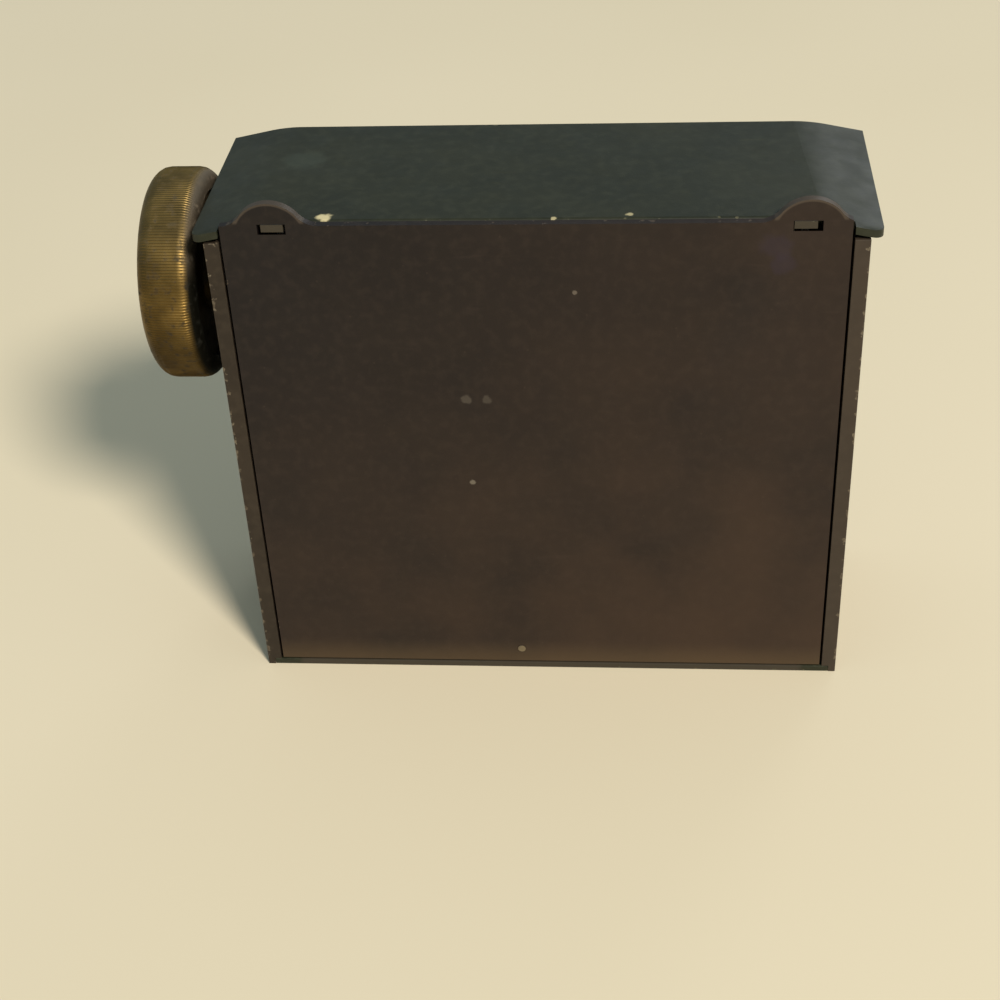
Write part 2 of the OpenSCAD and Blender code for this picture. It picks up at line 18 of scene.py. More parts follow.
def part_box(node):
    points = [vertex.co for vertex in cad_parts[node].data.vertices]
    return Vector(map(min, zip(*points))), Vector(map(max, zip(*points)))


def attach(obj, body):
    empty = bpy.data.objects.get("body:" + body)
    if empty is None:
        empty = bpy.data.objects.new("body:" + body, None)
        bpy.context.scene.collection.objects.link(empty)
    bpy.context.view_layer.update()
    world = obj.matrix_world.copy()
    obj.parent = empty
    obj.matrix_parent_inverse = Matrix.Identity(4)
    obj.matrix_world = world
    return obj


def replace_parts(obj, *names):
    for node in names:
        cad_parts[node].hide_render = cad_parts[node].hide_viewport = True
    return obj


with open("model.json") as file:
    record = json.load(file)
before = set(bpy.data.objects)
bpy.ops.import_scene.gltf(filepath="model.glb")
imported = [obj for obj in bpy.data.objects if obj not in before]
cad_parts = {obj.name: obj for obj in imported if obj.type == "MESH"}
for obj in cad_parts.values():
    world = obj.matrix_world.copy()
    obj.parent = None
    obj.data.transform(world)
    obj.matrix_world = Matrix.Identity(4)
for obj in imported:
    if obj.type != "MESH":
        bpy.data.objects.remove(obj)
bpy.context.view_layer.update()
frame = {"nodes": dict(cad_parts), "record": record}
MM = 0.001
WELD = 2e-6
body_of = {node: body for body, nodes in frame["record"]["behaviour"]["bodies"].items() for node in nodes}

# %% [markdown]
# ## The camera
# A camera can be placed by eye, or fitted to straight edges whose real places are known. This
# one was fitted, so its numbers are kept as they came out: where it stands in millimetres, how
# far it looks down, and how much it is turned and tilted.

# %% Camera
camera_data = bpy.data.cameras.new("camera")
camera = bpy.data.objects.new("camera", camera_data)
bpy.context.scene.collection.objects.link(camera)
camera_data.sensor_width = 36
camera_data.lens = 63.572
camera_data.clip_start = 0.01
turn, pitch, tilt = math.radians(6.056), math.radians(54.549), math.radians(-3.165)
camera.matrix_world = (
    Matrix.Translation(Vector((13.3945, -187.625, 151.594)) * MM)
    @ Matrix.Rotation(turn, 4, "Z")
    @ Matrix.Rotation(pitch, 4, "X")
    @ Matrix.Rotation(tilt, 4, "Z")
)
bpy.context.scene.camera = camera
bpy.context.scene.view_settings.view_transform = "Standard"
print("camera at", [round(v, 4) for v in camera.location])

# %% [markdown]
# ## Light
# The shadow on the cloth runs back and to the left, about as long as the case is high. So one
# soft lamp stands to the right and in front, some forty degrees up. The sky is a cool grey, which
# tints the shadow, and the lamp is a little warm. Together they light a colour about as it is
# written. An area lamp is used because its size sets how soft the shadow's edge is. A weak second
# lamp behind, on the right, makes the right shoulder of the end wall shine paler than the rest.

# %% Lamp and sky
def lamp(name, place, size, power, colour):
    data = bpy.data.lights.new(name, "AREA")
    data.shape, data.size, data.energy, data.color = "DISK", size, power, colour
    thing = bpy.data.objects.new(name, data)
    thing.location = place
    thing.rotation_euler = (-Vector(place)).to_track_quat("-Z", "Y").to_euler()
    bpy.context.scene.collection.objects.link(thing)
    return thing


window_lamp = lamp("window_lamp", (0.90, -1.36, 1.47), 0.46, 54.0, (1.0, 0.92, 0.80))
door_lamp = lamp("door_lamp", (1.3, 2.9, 1.3), 1.26, 9.5, (0.96, 0.98, 1.0))
sky = bpy.data.worlds.new("sky")
bpy.context.scene.world = sky
sky.use_nodes = True
sky_colour = sky.node_tree.nodes["Background"]
sky_colour.inputs["Color"].default_value = (0.80, 0.96, 1.0, 1)
sky_colour.inputs["Strength"].default_value = 0.36
print("lamps", window_lamp.data.energy, door_lamp.data.energy, "W")


# %% [markdown]
# ## A workbench for finishes
# Worn paint and old brass are never one colour. A finish here is a node material grown in small
# steps: noise of a given size in millimetres, a soft step that turns noise into a mask, a mix of
# two colours. Everything reads Object coordinates, so a pattern stays on its piece when it moves.

# %% Colours as they are seen on a screen
def seen(red, green, blue):
    """A screen colour, 0 to 255, as the linear colour that a socket takes."""
    return tuple(
        (c / 255 / 12.92) if c <= 10 else ((c / 255 + 0.055) / 1.055) ** 2.4 for c in (red, green, blue)
    ) + (1.0,)


# %% The finish class
class Finish:
    """A node material that is grown step by step, with sizes in millimetres."""

    def __init__(self, name, **constants):
        self.made = bpy.data.materials.new(name)
        self.made.use_nodes = True
        self.tree = self.made.node_tree
        self.shader = self.tree.nodes["Principled BSDF"]
        for socket, value in constants.items():
            self.shader.inputs[socket.replace("_", " ")].default_value = value
        self.place = self.tree.nodes.new("ShaderNodeTexCoord").outputs["Object"]
        axes = self.tree.nodes.new("ShaderNodeSeparateXYZ")
        self.tree.links.new(self.place, axes.inputs[0])
        self.x, self.y, self.z = axes.outputs

    def put(self, socket, value):
        if isinstance(value, bpy.types.NodeSocket):
            self.tree.links.new(value, socket)
        else:
            socket.default_value = value

    def math(self, operation, *values):
        node = self.tree.nodes.new("ShaderNodeMath")
        node.operation = operation
        for socket, value in zip(node.inputs, values):
            self.put(socket, value)
        return node.outputs[0]

    def grain(self, size, detail=3.0, stretch=(1, 1, 1), shift=0.0):
        """Noise from 0 to 1 with features about size across, drawn out along an axis by stretch."""
        mapping = self.tree.nodes.new("ShaderNodeMapping")
        mapping.inputs["Location"].default_value = (shift, shift * 0.7, -shift)
        mapping.inputs["Scale"].default_value = stretch
        self.tree.links.new(self.place, mapping.inputs["Vector"])
        noise = self.tree.nodes.new("ShaderNodeTexNoise")
        noise.inputs["Scale"].default_value = 1 / (size * MM)
        noise.inputs["Detail"].default_value = detail
        self.tree.links.new(mapping.outputs[0], noise.inputs["Vector"])
        return noise.outputs[0]

    def flecks(self, size, radius, shift=0.0):
        """Round flecks, 1 inside and 0 outside, on a loose grid of the given size."""
        mapping = self.tree.nodes.new("ShaderNodeMapping")
        mapping.inputs["Location"].default_value = (shift, -shift, shift * 0.5)
        self.tree.links.new(self.place, mapping.inputs["Vector"])
        cells = self.tree.nodes.new("ShaderNodeTexVoronoi")
        cells.inputs["Scale"].default_value = 1 / (size * MM)
        self.tree.links.new(mapping.outputs[0], cells.inputs["Vector"])
        return self.step(cells.outputs["Distance"], radius, radius * 0.6)

    def step(self, value, low, high):
        """0 at low, 1 at high, soft between them. low may be the larger."""
        node = self.tree.nodes.new("ShaderNodeMapRange")
        node.interpolation_type = "SMOOTHSTEP"
        self.put(node.inputs[0], value)
        node.inputs[1].default_value, node.inputs[2].default_value = low, high
        return node.outputs[0]

    def mix(self, share, first, second):
        node = self.tree.nodes.new("ShaderNodeMix")
        node.data_type = "RGBA"
        self.put(node.inputs[0], share)
        self.put(node.inputs[6], first)
        self.put(node.inputs[7], second)
        return node.outputs[2]

    def distance(self, place):
        """Distance in metres from a place given in millimetres."""
        node = self.tree.nodes.new("ShaderNodeVectorMath")
        node.operation = "DISTANCE"
        self.tree.links.new(self.place, node.inputs[0])
        node.inputs[1].default_value = Vector(place) * MM
        return node.outputs["Value"]

    def spot(self, place, radius):
        """A round mark around a place in millimetres, ragged by the grain."""
        ragged = self.math("MULTIPLY_ADD", self.grain(radius * 0.8), radius * MM, self.distance(place))
        return self.step(ragged, radius * 1.5 * MM, radius * MM)

    def attribute(self, name):
        """A number that the mesh carries, such as rim: 1 on the faces that broke an edge."""
        node = self.tree.nodes.new("ShaderNodeAttribute")
        node.attribute_name = name
        return node.outputs["Fac"]

    def bump(self, height, depth, strength=1.0):
        node = self.tree.nodes.new("ShaderNodeBump")
        node.inputs["Strength"].default_value = strength
        node.inputs["Distance"].default_value = depth * MM
        self.put(node.inputs["Height"], height)
        self.tree.links.new(node.outputs[0], self.shader.inputs["Normal"])

    def wear(self, colour=None, roughness=None, metallic=None):
        for socket, value in (("Base Color", colour), ("Roughness", roughness), ("Metallic", metallic)):
            if value is not None:
                self.put(self.shader.inputs[socket], value)
        return self.made


# %% [markdown]
# ## Where paint wears first
# Paint goes at the corners. The distance to a box's nearest edge is easy to get from the
# coordinates alone: measure to each pair of sides, and the second smallest of the three is the
# distance along the surface to the edge. Noise is added to it, so the wear is broken and chipped.

# %% Distance to an edge
def from_sides(finish, axis, low, high):
    """Distance to the nearer of two opposite sides, in metres."""
    return finish.math(
        "MINIMUM", finish.math("SUBTRACT", axis, low * MM), finish.math("SUBTRACT", high * MM, axis)
    )


def second_least(finish, a, b, c):
    least = finish.math("MINIMUM", a, b)
    most = finish.math("MAXIMUM", a, b)
    return finish.math("MAXIMUM", least, finish.math("MINIMUM", most, c))


def chipped(finish, distance, reach, share, shift=0.0):
    """A ragged mask that is dense at the edge and gone at reach millimetres from it."""
    near = finish.step(distance, reach * MM, 0.0)
    rough = finish.math("MULTIPLY_ADD", finish.grain(0.35, 2.0), 0.25, finish.grain(1.1, 4.0, shift=shift))
    level = 0.925 + (0.5 - share) * 0.4
    return finish.step(finish.math("MULTIPLY_ADD", near, 0.3, rough), level, level + 0.03)


# %% [markdown]
# ## Painted sheet metal
# The case wears an old stoved paint: two close tones in soft clouds, fine pale flecks, long faint
# scuffs, edges that are rubbed paler, and primed metal where it has chipped. Each is a mask over
# the same base, and the bump uses the chips too, so a chip has a lip. A mark is a place, a
# radius, a share and a tone. A mask in the list is a function of the finish, a share and a tone.

# %% Paint recipe
def paint(name, coat, cloud, pale, bare, chips, marks=(), masks=(), rough=0.46, shift=0.0):
    finish = Finish(name, Specular_IOR_Level=0.32)
    chip = chips(finish)
    clouds = finish.step(finish.grain(9.0, 4.0, shift=shift), 0.36, 0.66)
    colour = finish.mix(clouds, coat, cloud)
    mottle = finish.step(finish.grain(1.3, 4.0, shift=shift), 0.42, 0.72)
    colour = finish.mix(finish.math("MULTIPLY", mottle, 0.22), colour, pale)
    speck = finish.flecks(2.6, 0.06, shift)
    colour = finish.mix(finish.math("MULTIPLY", speck, 0.4), colour, pale)
    scuff = finish.step(finish.grain(1.5, 3.0, (0.22, 1, 1.7), shift), 0.68, 0.78)
    colour = finish.mix(finish.math("MULTIPLY", scuff, 0.3), colour, pale)
    rubbed = finish.math("MULTIPLY", finish.attribute("rim"), finish.step(finish.grain(0.9, 4.0), 0.42, 0.62))
    colour = finish.mix(finish.math("MULTIPLY", rubbed, 0.5), colour, pale)
    for mask, share, tone in masks:
        colour = finish.mix(finish.math("MULTIPLY", mask(finish), share), colour, tone)
    for mark in marks:
        colour = finish.mix(finish.math("MULTIPLY", finish.spot(*mark[:2]), mark[2]), colour, mark[3])
    bare_tone = finish.mix(finish.step(finish.grain(0.5), 0.35, 0.65), bare, pale)
    colour = finish.mix(chip, colour, bare_tone)
    fine = finish.grain(0.28, 3.0)
    gloss = finish.math("MULTIPLY_ADD", finish.grain(3.0, 4.0, shift=shift), 0.22, rough - 0.1)
    gloss = finish.math("MULTIPLY_ADD", scuff, 0.12, gloss)
    height = finish.math("MULTIPLY_ADD", fine, 0.25, finish.math("MULTIPLY", chip, -1.0))
    finish.bump(height, 0.05, 0.55)
    return finish.wear(colour, gloss)


# %% Green enamel of the shell and the front wall
def shell_chips(finish):
    across = from_sides(finish, finish.x, -38.3, 38.3)
    deep = from_sides(finish, finish.y, -12.25, 13.3)
    tall = from_sides(finish, finish.z, 0.0, 64.0)
    return chipped(finish, second_least(finish, across, deep, tall), 0.8, 0.3)


def tab_ends(finish):
    """1 on the ends of the two hinge tabs, which have lost their paint."""
    out = finish.step(finish.y, -12.6 * MM, -12.9 * MM)
    return finish.math("MULTIPLY", out, finish.step(finish.math("ABSOLUTE", finish.x), 33.0 * MM, 32.0 * MM))


LIGHT_CHIP = seen(206, 194, 152)
green_enamel = paint(
    "green_enamel", seen(29, 32, 20), seen(35, 37, 23), seen(60, 62, 47), seen(84, 79, 58), shell_chips,
    marks=(
        ((-23.2, -11.4, 64.0), 1.05, 0.95, LIGHT_CHIP),
        ((2.4, -12.0, 64.0), 0.4, 0.6, LIGHT_CHIP),
        ((10.7, -11.2, 64.0), 0.5, 0.6, LIGHT_CHIP),
        ((-27.9, 3.7, 64.0), 3.4, 0.2, seen(72, 82, 72)),
    ),
    masks=((tab_ends, 0.85, seen(58, 51, 42)),),
)

# %% Brown enamel of the base plate
EARS = ((-29.25, -12.8, 62.4), (30.35, -12.8, 62.4))
EAR_R = 4.2


def inside_ears(finish):
    """How far a point is inside the round outline of the nearer ear."""
    return finish.math("MAXIMUM", *(finish.math("SUBTRACT", EAR_R * MM, finish.distance(ear)) for ear in EARS))


def plate_chips(finish):
    flat = finish.math(
        "MINIMUM", from_sides(finish, finish.x, -34.8, 34.8), from_sides(finish, finish.z, 1.15, 63.9)
    )
    return chipped(finish, finish.math("MAXIMUM", flat, inside_ears(finish)), 0.45, 0.12, 3.0)


def ear_rim_wear_and_highlight(finish):
    """1 round the tops of the ears, where the paint is rubbed thin and the up-facing edges get a painted highlight.
    """
    rim = finish.step(finish.math("ABSOLUTE", inside_ears(finish)), 0.3 * MM, 0.12 * MM)
    return finish.math("MULTIPLY", rim, finish.step(finish.z, 64.0 * MM, 64.4 * MM))


def front_edge(finish):
    """1 along the plate's front edge, which is handled most."""
    return finish.step(finish.z, 5.0 * MM, 0.8 * MM)


def painted_light_right_low(finish):
    """The plate is painted paler and warmer to the right, as painted light on the lamp's side, and low down as well.
    """
    low = finish.math("MULTIPLY", finish.step(finish.z, 62 * MM, 2 * MM), 0.55)
    right = finish.math("MULTIPLY_ADD", finish.step(finish.x, -34 * MM, 34 * MM), 0.45, low)
    return finish.math("MULTIPLY", right, finish.step(finish.grain(14.0, 3.0), 0.0, 0.75))


brown_enamel = paint(
    "brown_enamel", seen(15, 8, 9), seen(20, 13, 12), seen(50, 40, 34), seen(72, 62, 52), plate_chips,
    marks=(
        ((26.8, -13.3, 61.0), 2.0, 0.3, seen(44, 34, 50)),
        ((27.6, -13.3, 58.8), 1.7, 0.3, seen(44, 34, 50)),
        ((-8.3, -13.3, 29.4), 0.45, 0.8, seen(108, 100, 88)),
        ((4.6, -13.3, 55.4), 0.35, 0.7, seen(104, 94, 84)),
        ((-8.4, -13.3, 41.2), 0.8, 0.35, seen(96, 88, 78)),
        ((-6.0, -13.3, 41.2), 0.7, 0.3, seen(96, 88, 78)),
    ),
    # The first two masks paint light: paler to the right and low down, and a highlight with rubbed paint round the
    # ear tops.
    masks=(
        (painted_light_right_low, 0.7, seen(64, 46, 33)), (ear_rim_wear_and_highlight, 0.4, seen(92, 81, 69)), (front_edge, 0.4, seen(92, 74, 50)),
    ),
    rough=0.5, shift=5.0,
)

# %% Worn brown of the side walls
WALL_X = 36.9


def side_chips(finish):
    across = finish.math("SUBTRACT", WALL_X * MM, finish.math("ABSOLUTE", finish.x))
    deep = from_sides(finish, finish.y, -13.3, 13.3)
    tall = from_sides(finish, finish.z, 0.0, 61.75)
    return chipped(finish, second_least(finish, across, deep, tall), 1.1, 0.37, 8.0)


def painted_light_right_wall(finish):
    """Painted light: the right wall is painted paler than the left one, on the side where the lamp stands."""
    return finish.step(finish.x, -5 * MM, 5 * MM)


worn_brown = paint(
    "worn_brown", seen(38, 30, 22), seen(45, 36, 27), seen(72, 62, 50), seen(106, 96, 80), side_chips,
    # The mask paints the right wall paler, as painted light from the lamp's side.
    masks=((painted_light_right_wall, 0.5, seen(66, 56, 47)),), rough=0.52, shift=9.0,
)
print("paints", green_enamel.name, brown_enamel.name, worn_brown.name)


# %% [markdown]
# ## Brass, steel and the rest
# Old brass is bright only where hands rub it: the high edges. Elsewhere a brown green patina lies
# in clouds over the metal. Steel is cut from drawn strip, so its noise is stretched into a grain.

# %% Metal recipe
def metal(name, bright, dull, stain_and_shade, patina, rough, stretch, shift=0.0, shade_light_and_oxide=False):
    """Clouds of bright and dull metal under a patina. The knob's finish also gets painted shade and painted light by
    height, and a point attribute that blackens its inner face with oxide and painted shade.
    """
    finish = Finish(name)
    clouds = finish.step(finish.grain(4.5, 5.0, shift=shift), 0.32, 0.68)
    colour = finish.mix(clouds, bright, dull)
    spots = finish.step(finish.grain(0.9, 4.0, shift=shift), 0.52, 0.74)
    film = finish.math("MULTIPLY", spots, patina)
    colour = finish.mix(film, colour, stain_and_shade)
    streak = finish.grain(0.45, 3.0, stretch, shift)
    colour = finish.mix(finish.math("MULTIPLY", finish.step(streak, 0.35, 0.7), 0.22), colour, dull)
    rubbed = finish.math("MULTIPLY", finish.attribute("rim"), finish.step(finish.grain(0.8), 0.35, 0.6))
    colour = finish.mix(finish.math("MULTIPLY", rubbed, 0.6), colour, bright)
    gloss = finish.math("MULTIPLY_ADD", streak, 0.2, rough - 0.1)
    gloss = finish.math("MULTIPLY_ADD", film, 0.25, gloss)
    gloss = finish.math("MULTIPLY_ADD", rubbed, -0.12, gloss)
    shine = finish.math("MULTIPLY_ADD", film, -0.45, 1.0)
    if shade_light_and_oxide:
        # Painted shade on a band low on the knob, painted light on its top, and an inner face made nearly black by
        # oxide and painted shade, painted paler near its top where light falls on it.
        inner_shade_and_oxide = finish.attribute("shade_and_oxide")
        below = finish.step(finish.z, 53 * MM, 46 * MM)
        low = finish.math("MULTIPLY", below, finish.step(finish.z, 38 * MM, 42 * MM))
        high = finish.step(finish.z, 55 * MM, 61 * MM)
        colour = finish.mix(finish.math("MULTIPLY", low, 0.6), colour, stain_and_shade)
        colour = finish.mix(finish.math("MULTIPLY", high, 0.2), colour, seen(150, 136, 98))
        # The inner face: oxide and painted shade, with painted light near its top.
        colour = finish.mix(inner_shade_and_oxide, colour, finish.mix(high, seen(34, 33, 27), seen(120, 108, 92)))
        gloss = finish.math("MULTIPLY_ADD", inner_shade_and_oxide, 0.2, gloss)
    finish.bump(finish.math("MULTIPLY_ADD", spots, -0.4, streak), 0.012, 0.5)
    return finish.wear(colour, gloss, shine)


old_brass = metal("old_brass", seen(156, 128, 74), seen(114, 93, 53), seen(60, 50, 31), 0.75, 0.44, (0.2, 1, 1))
knob_brass = metal(
    "knob_brass", seen(138, 112, 62), seen(94, 75, 41), seen(44, 36, 23), 0.95, 0.46, (0.2, 1, 1),
    shade_light_and_oxide=True,
)
bright_brass = metal("bright_brass", seen(226, 196, 128), seen(196, 164, 98), seen(120, 98, 54), 0.5, 0.3, (1, 6, 1))
plated_steel = metal(
    "plated_steel", seen(196, 196, 190), seen(160, 160, 154), seen(110, 104, 92), 0.5, 0.34, (1, 1, 0.15), 1.0
)
spring_steel = metal(
    "spring_steel", seen(150, 152, 156), seen(104, 106, 112), seen(74, 62, 50), 0.6, 0.36, (1, 1, 0.12), 4.0
)
rivet_steel = metal(
    "rivet_steel", seen(150, 140, 122), seen(112, 100, 84), seen(70, 60, 50), 0.7, 0.44, (0.2, 1, 1), 6.0
)


# %% [markdown]
# ## Card, celluloid and black
# The leaves are ruled index cards, yellowed at their edges, with printed lines that the shader
# draws from the height alone. The drum is ivory celluloid with a faint grain. The lens is clear.

# %% Card, celluloid, lens and black
def card(name, shade, shift):
    finish = Finish(name, Specular_IOR_Level=0.2)
    fibre = finish.grain(0.4, 5.0, (0.35, 1, 1), shift)
    colour = finish.mix(finish.step(finish.grain(12.0, 4.0, shift=shift), 0.4, 0.7), seen(236, 226, 200), shade)
    colour = finish.mix(finish.math("MULTIPLY", finish.step(fibre, 0.45, 0.75), 0.3), colour, seen(202, 186, 150))
    spread = second_least(
        finish, from_sides(finish, finish.x, -27.4, 29.05), from_sides(finish, finish.z, 10.2, 58.4), 1.0
    )
    edge = finish.math("MULTIPLY", finish.step(spread, 0.005, 0.0), 0.45)
    colour = finish.mix(edge, colour, seen(190, 164, 118))
    row = finish.math("PINGPONG", finish.math("SUBTRACT", finish.z, 12.0 * MM), 2.2 * MM)
    line = finish.step(row, 0.09 * MM, 0.04 * MM)
    inside = finish.step(from_sides(finish, finish.z, 13.0, 54.0), 0.0, 0.1 * MM)
    ink = finish.math("MULTIPLY", finish.math("MULTIPLY", line, inside), 0.75)
    colour = finish.mix(ink, colour, seen(96, 116, 142))
    margin = finish.step(finish.math("ABSOLUTE", finish.math("ADD", finish.x, 12.0 * MM)), 0.11 * MM, 0.05 * MM)
    colour = finish.mix(finish.math("MULTIPLY", margin, 0.6), colour, seen(168, 84, 76))
    finish.bump(fibre, 0.03, 0.4)
    return finish.wear(colour, finish.math("MULTIPLY_ADD", fibre, 0.2, 0.62))


cards = [card(f"card_{k + 1}", seen(228 - 3 * k, 214 - 3 * k, 184 - 4 * k), 2.0 * k) for k in range(8)]


def plain(name, first, second, rough, size, bump_depth, **constants):
    """A finish for small plain things: two tones, uneven gloss and a fine bump."""
    finish = Finish(name, **constants)
    tone = finish.grain(size, 4.0)
    colour = finish.mix(finish.step(tone, 0.35, 0.65), first, second)
    dust = finish.step(finish.grain(size * 0.15, 3.0), 0.62, 0.8)
    colour = finish.mix(finish.math("MULTIPLY", dust, 0.25), colour, seen(150, 142, 126))
    finish.bump(finish.grain(size * 0.1, 3.0), bump_depth, 0.5)
    return finish.wear(colour, finish.math("MULTIPLY_ADD", tone, 0.2, rough - 0.1))


ivory = plain("ivory_celluloid", seen(234, 222, 190), seen(218, 200, 160), 0.34, 5.0, 0.01, Coat_Weight=0.2)
black = plain("matt_black", seen(16, 16, 15), seen(26, 25, 23), 0.7, 3.0, 0.02)
ink = plain("black_ink", seen(20, 19, 20), seen(34, 32, 34), 0.5, 2.0, 0.004)
lens = plain(
    "clear_lens", seen(240, 244, 238), seen(226, 234, 224), 0.12, 4.0, 0.002, Transmission_Weight=0.92, IOR=1.45
)
print("finishes", len(bpy.data.materials))


# %% [markdown]
# ## Breaking the edges
# A CAD solid has knife edges, and real sheet metal doesn't. A bevel on every sharp edge of a copy
# catches the light along each corner. The new faces also get a rim attribute, so the finishes
# know where hands and shelves have rubbed. The copy stands for the CAD node from then on.

# %% Softened copies of CAD nodes
FOLD, SHARP = math.radians(9), math.radians(34)


def hold(piece, *nodes):
    """Puts a finished piece on its body in place of its CAD nodes."""
    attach(piece, body_of[nodes[0]])
    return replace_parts(piece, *nodes)


def thing(name, mesh, finish, smooth=18.0):
    """A new object from a bmesh, smooth below an angle and sharp above it."""
    data = bpy.data.meshes.new(name)
    mesh.to_mesh(data)
    mesh.free()
    data.materials.append(finish)
    data.polygons.foreach_set("use_smooth", [True] * len(data.polygons))
    data.set_sharp_from_angle(angle=math.radians(smooth))
    made = bpy.data.objects.new(name, data)
    bpy.context.scene.collection.objects.link(made)
    return made


def softened(node, width, finish, bend=0.0):
    """A copy of a node with its sharp edges broken, and its long shallow folds rounded by bend."""
    mesh = bmesh.new()
    mesh.from_mesh(frame["nodes"][node].data)
    bmesh.ops.remove_doubles(mesh, verts=mesh.verts, dist=WELD)
    bmesh.ops.dissolve_limit(mesh, angle_limit=math.radians(0.4), verts=mesh.verts, edges=mesh.edges)
    rim = mesh.faces.layers.float.new("rim")
    if bend:
        long = [e for e in mesh.edges if e.calc_length() > 8 * MM]
        folds = [e for e in long if FOLD < e.calc_face_angle(0.0) < SHARP]
        bmesh.ops.bevel(mesh, geom=folds, offset=bend * MM, segments=6, profile=0.5, affect="EDGES")
        print(node, "folds rounded:", len(folds))
    sharp = [e for e in mesh.edges if e.calc_face_angle(0.0) > SHARP]
    made = bmesh.ops.bevel(
        mesh, geom=sharp, offset=width * MM, segments=2, profile=0.5, affect="EDGES", clamp_overlap=True
    )
    for face in made["faces"]:
        face[rim] = 1.0
    bmesh.ops.triangulate(mesh, faces=[f for f in mesh.faces if len(f.verts) > 4])
    open_edges = sum(1 for e in mesh.edges if not e.is_manifold)
    piece = hold(thing(f"{node}_soft", mesh, finish), node)
    print(f"{node}: {len(piece.data.polygons)} faces, {len(sharp)} edges broken, {open_edges} open")
    return piece


# %% Sheet metal, brackets and springs
SOFT = {
    "cover_shell": (0.28, green_enamel), "front_wall": (0.15, green_enamel), "base_plate": (0.16, brown_enamel),
    "side_wall_left": (0.3, worn_brown), "side_wall_right": (0.3, worn_brown), "window_bezel": (0.25, old_brass),
    "rod_brackets": (0.12, plated_steel), "slide_guide": (0.12, plated_steel),
    "latch_bracket": (0.12, plated_steel), "latch_catch": (0.15, plated_steel),
    "latch_hook": (0.15, plated_steel), "rack_slide": (0.08, plated_steel),
    "spring_lug": (0.15, plated_steel), "spring_foot": (0.08, spring_steel), "window_lens": (0.12, lens),
}
for node, (width, finish) in SOFT.items():
    softened(node, width, finish, bend=1.8 if node == "cover_shell" else 0.0)

# %% [markdown]
# ## Finishes for the nodes that keep their CAD shape
# Gears, bushes, pins and springs are right as they are. Only their material slots change.

# %% Finishes on CAD nodes
PLAIN_NODES = {
    bright_brass: ("bush_left", "bush_right", "drive_pinion", "star_wheel", "idler_gear"),
    plated_steel: (
        "leaf_rod", "idler_pin", "latch_pin", "guide_rivets", "spring_rivet", "end_clip", "shaft", "knob_screw",
    ),
    spring_steel: ("detent_spring", "latch_spring", "lift_spring"),
    rivet_steel: ("catch_rivet",),
    black: ("window_mask",),
    ivory: ("letter_drum",),
}
for finish, nodes in PLAIN_NODES.items():
    for node in nodes:
        for place in frame["nodes"][node].material_slots:
            place.material = finish
for k, finish in enumerate(cards):
    for place in frame["nodes"][f"leaf_{k + 1}"].material_slots:
        place.material = finish
print("CAD nodes finished", sum(map(len, PLAIN_NODES.values())) + len(cards))


# %% [markdown]
# ## Copies by rule
# Knurls stand in a ring and rivets in a row. Geometry Nodes can make both: points, an instance on
# each, then Realize Instances and Set Material, so that the export gets real faces. The tree has
# named inputs, which are set by each socket's identifier before the object is first evaluated.

# %% A tree that copies its own mesh round a ring or along a row
def copies_tree():
    tree = bpy.data.node_groups.new("copies", "GeometryNodeTree")
    tree.interface.new_socket("Mesh", in_out="INPUT", socket_type="NodeSocketGeometry")
    for name, kind in (
        ("Count", "NodeSocketInt"), ("Turn", "NodeSocketVector"), ("Offset", "NodeSocketVector"),
        ("Finish", "NodeSocketMaterial"),
    ):
        tree.interface.new_socket(name, in_out="INPUT", socket_type=kind)
    tree.interface.new_socket("Mesh", in_out="OUTPUT", socket_type="NodeSocketGeometry")
    given, line, copy, real, coat, number, angle, result = (tree.nodes.new(kind) for kind in (
        "NodeGroupInput", "GeometryNodeMeshLine", "GeometryNodeInstanceOnPoints", "GeometryNodeRealizeInstances",
        "GeometryNodeSetMaterial", "GeometryNodeInputIndex", "ShaderNodeVectorMath", "NodeGroupOutput",
    ))
    angle.operation = "SCALE"
    join = tree.links.new
    join(given.outputs["Count"], line.inputs["Count"])
    join(given.outputs["Offset"], line.inputs["Offset"])
    join(given.outputs["Turn"], angle.inputs[0])
    join(number.outputs[0], angle.inputs["Scale"])
    join(line.outputs[0], copy.inputs["Points"])
    join(given.outputs["Mesh"], copy.inputs["Instance"])
    join(angle.outputs[0], copy.inputs["Rotation"])
    join(copy.outputs[0], real.inputs[0])
    join(real.outputs[0], coat.inputs[0])
    join(given.outputs["Finish"], coat.inputs["Material"])
    join(coat.outputs[0], result.inputs[0])
    return tree


COPIES = copies_tree()
SOCKET = {item.name: item.identifier for item in COPIES.interface.items_tree if item.in_out == "INPUT"}


def copied(seed, name, count, finish, turn=(0, 0, 0), offset=(0, 0, 0), centre=(0, 0, 0)):
    """Copies a seed mesh by rule, moves the result to its centre and bakes it into a plain mesh."""
    modifier = seed.modifiers.new("copies", "NODES")
    modifier.node_group = COPIES
    values = {"Count": count, "Turn": turn, "Offset": Vector(offset) * MM, "Finish": finish}
    for socket, value in values.items():
        modifier[SOCKET[socket]] = value
    evaluated = seed.evaluated_get(bpy.context.evaluated_depsgraph_get())
    data = bpy.data.meshes.new_from_object(evaluated)
    data.name = name
    data.transform(Matrix.Translation(Vector(centre) * MM))
    if not data.materials:
        data.materials.append(finish)
    seed.modifiers.clear()
    bpy.data.objects.remove(seed)
    made = bpy.data.objects.new(name, data)
    bpy.context.scene.collection.objects.link(made)
    print(f"{name}: {count} copies, {len(data.polygons)} faces")
    return made


# %% [markdown]
# ## Turned pieces
# A knob and a button come off a lathe, so each is a profile spun round its axis. Spinning can
# leave faces inside out, so doubles are merged and the normals are made to point outwards.

